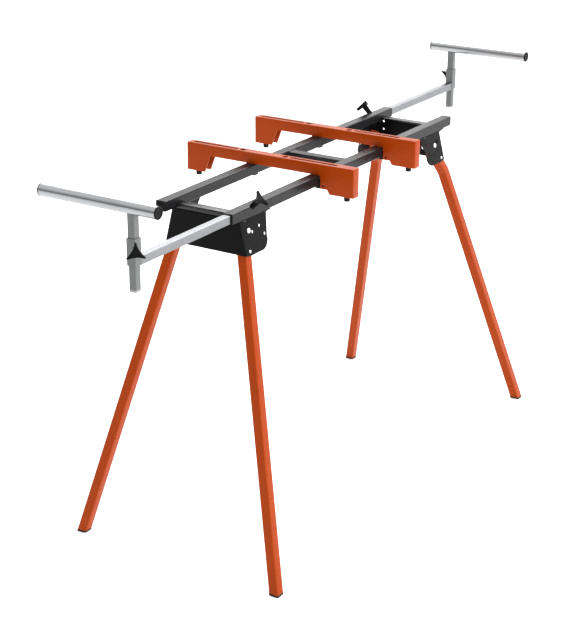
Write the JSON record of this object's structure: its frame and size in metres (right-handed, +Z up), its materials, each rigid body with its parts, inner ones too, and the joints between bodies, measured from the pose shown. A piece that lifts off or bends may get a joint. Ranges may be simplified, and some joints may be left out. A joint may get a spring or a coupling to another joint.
{
  "type": "folding mitre saw stand",
  "caption": "Folding saw stand: two rails on splayed folding legs, sliding slotted beams with latches, and telescopic arms with height-adjustable round support bars.",
  "frame": {"origin": "on the floor under the middle of the whole stand's box", "axes": "+X along the rails towards the dog-legged leg pair, +Y from the front rail to the rear rail, +Z up"},
  "size_m": [1.896, 0.5992, 0.9873],
  "materials": {
    "orange_paint": "satin powder coat",
    "charcoal_paint": "satin powder coat",
    "black_paint": "satin powder coat",
    "zinc": "zinc plated",
    "steel_tube": "zinc plated, satin",
    "grey_plastic": "matte",
    "black_plastic": "matte",
    "black_rubber": "matte"
  },
  "bodies": {
    "frame": {"front_rail": "charcoal_paint", "rear_rail": "charcoal_paint", "middle_crossbar": "charcoal_paint", "left_leg_bracket": "black_paint", "right_leg_bracket": "black_paint", "rail_end_caps": "black_plastic", "rail_bushes": "black_plastic", "rail_knob_nuts": "black_paint", "leg_pivot_bolts": "zinc", "leg_pivot_nuts": "zinc", "leg_washers": "zinc", "bracket_bolts": "zinc"},
    "left_front_leg": {"left_front_leg": "orange_paint", "left_front_foot": "black_rubber"},
    "left_rear_leg": {"left_rear_leg": "orange_paint", "left_rear_foot": "black_rubber"},
    "right_front_leg": {"right_front_leg": "orange_paint", "right_front_foot": "black_rubber"},
    "right_rear_leg": {"right_rear_leg": "orange_paint", "right_rear_foot": "black_rubber"},
    "left_front_lock_button": {"left_front_lock_button": "zinc"},
    "left_rear_lock_button": {"left_rear_lock_button": "zinc"},
    "right_front_lock_button": {"right_front_lock_button": "zinc"},
    "right_rear_lock_button": {"right_rear_lock_button": "zinc"},
    "left_arm": {"left_extension_tube": "steel_tube", "left_extension_glide": "black_plastic", "left_post_sleeve": "steel_tube", "left_post_knob_nut": "zinc"},
    "left_support": {"left_post": "steel_tube", "left_post_plug": "grey_plastic", "left_support_bar": "steel_tube", "left_bar_caps": "black_plastic"},
    "left_rail_knob": {"left_rail_knob": "black_plastic", "left_rail_knob_stud": "zinc"},
    "left_post_knob": {"left_post_knob": "black_plastic", "left_post_knob_stud": "zinc"},
    "right_arm": {"right_extension_tube": "steel_tube", "right_extension_glide": "black_plastic", "right_post_sleeve": "steel_tube", "right_post_knob_nut": "zinc"},
    "right_support": {"right_post": "steel_tube", "right_post_plug": "grey_plastic", "right_support_bar": "steel_tube", "right_bar_caps": "black_plastic"},
    "right_rail_knob": {"right_rail_knob": "black_plastic", "right_rail_knob_stud": "zinc"},
    "right_post_knob": {"right_post_knob": "black_plastic", "right_post_knob_stud": "zinc"},
    "left_beam": {"left_beam": "orange_paint", "left_beam_bumpers": "black_rubber", "left_beam_rear_hook": "black_paint", "left_latch_pin": "black_paint"},
    "left_latch": {"left_beam_latch": "black_plastic"},
    "right_beam": {"right_beam": "orange_paint", "right_beam_bumpers": "black_rubber", "right_beam_rear_hook": "black_paint", "right_latch_pin": "black_paint"},
    "right_latch": {"right_beam_latch": "black_plastic"}
  },
  "joints": [
    {"name": "left_front_leg_fold", "type": "hinge", "parent": "frame", "child": "left_front_leg", "pos_m": [-0.4967, -0.08456, 0.80867], "axis": [0, -0.9701, 0.2425], "range_deg": [0, 101.4]},
    {"name": "left_rear_leg_fold", "type": "hinge", "parent": "frame", "child": "left_rear_leg", "pos_m": [-0.4967, 0.08456, 0.80867], "axis": [0, -0.9701, -0.2425], "range_deg": [0, 101.4]},
    {"name": "right_front_leg_fold", "type": "hinge", "parent": "frame", "child": "right_front_leg", "pos_m": [0.42769, -0.08626, 0.80185], "axis": [0, 0.9701, -0.2425], "range_deg": [0, 104.4]},
    {"name": "right_rear_leg_fold", "type": "hinge", "parent": "frame", "child": "right_rear_leg", "pos_m": [0.42769, 0.08626, 0.80185], "axis": [0, 0.9701, 0.2425], "range_deg": [0, 104.4]},
    {"name": "left_front_lock_push", "type": "slide", "parent": "frame", "child": "left_front_lock_button", "axis": [0, 0.9701, -0.2425], "range_m": [0, 0.004], "stiffness_N_per_m": 800, "springref_m": -0.002},
    {"name": "left_rear_lock_push", "type": "slide", "parent": "frame", "child": "left_rear_lock_button", "axis": [0, -0.9701, -0.2425], "range_m": [0, 0.004], "stiffness_N_per_m": 800, "springref_m": -0.002},
    {"name": "right_front_lock_push", "type": "slide", "parent": "frame", "child": "right_front_lock_button", "axis": [0, 0.9701, -0.2425], "range_m": [0, 0.004], "stiffness_N_per_m": 800, "springref_m": -0.002},
    {"name": "right_rear_lock_push", "type": "slide", "parent": "frame", "child": "right_rear_lock_button", "axis": [0, -0.9701, -0.2425], "range_m": [0, 0.004], "stiffness_N_per_m": 800, "springref_m": -0.002},
    {"name": "left_arm_slide", "type": "slide", "parent": "frame", "child": "left_arm", "axis": [-1, 0, 0], "range_m": [-0.32, 0.2]},
    {"name": "left_post_slide", "type": "slide", "parent": "left_arm", "child": "left_support", "axis": [0, 0, 1], "range_m": [-0.048, 0.045]},
    {"name": "left_rail_knob_turn", "type": "hinge", "parent": "frame", "child": "left_rail_knob", "pos_m": [-0.484, -0.1065, 0.87], "axis": [0, -0.7071, 0.7071], "continuous": true},
    {"name": "left_post_knob_turn", "type": "hinge", "parent": "left_arm", "child": "left_post_knob", "pos_m": [-0.921, -0.104, 0.885], "axis": [-0.7071, -0.7071, 0], "continuous": true},
    {"name": "right_arm_slide", "type": "slide", "parent": "frame", "child": "right_arm", "axis": [1, 0, 0], "range_m": [-0.37, 0.148]},
    {"name": "right_post_slide", "type": "slide", "parent": "right_arm", "child": "right_support", "axis": [0, 0, 1], "range_m": [-0.048, 0.045]},
    {"name": "right_rail_knob_turn", "type": "hinge", "parent": "frame", "child": "right_rail_knob", "pos_m": [0.432, 0.1065, 0.87], "axis": [0, 0.7071, 0.7071], "continuous": true},
    {"name": "right_post_knob_turn", "type": "hinge", "parent": "right_arm", "child": "right_post_knob", "pos_m": [0.921, 0.104, 0.885], "axis": [0.7071, 0.7071, 0], "continuous": true},
    {"name": "left_beam_slide", "type": "slide", "parent": "frame", "child": "left_beam", "axis": [1, 0, 0], "range_m": [-0.2, 0.12]},
    {"name": "left_latch_squeeze", "type": "hinge", "parent": "left_beam", "child": "left_latch", "pos_m": [-0.176, -0.116, 0.8445], "axis": [1, 0, 0], "range_deg": [-75, 0], "stiffness_Nm_per_rad": 0.4, "springref_deg": 8.59},
    {"name": "right_beam_slide", "type": "slide", "parent": "frame", "child": "right_beam", "axis": [1, 0, 0], "range_m": [-0.135, 0.185]},
    {"name": "right_latch_squeeze", "type": "hinge", "parent": "right_beam", "child": "right_latch", "pos_m": [0.139, -0.116, 0.8445], "axis": [1, 0, 0], "range_deg": [-75, 0], "stiffness_Nm_per_rad": 0.4, "springref_deg": 8.59}
  ]
}
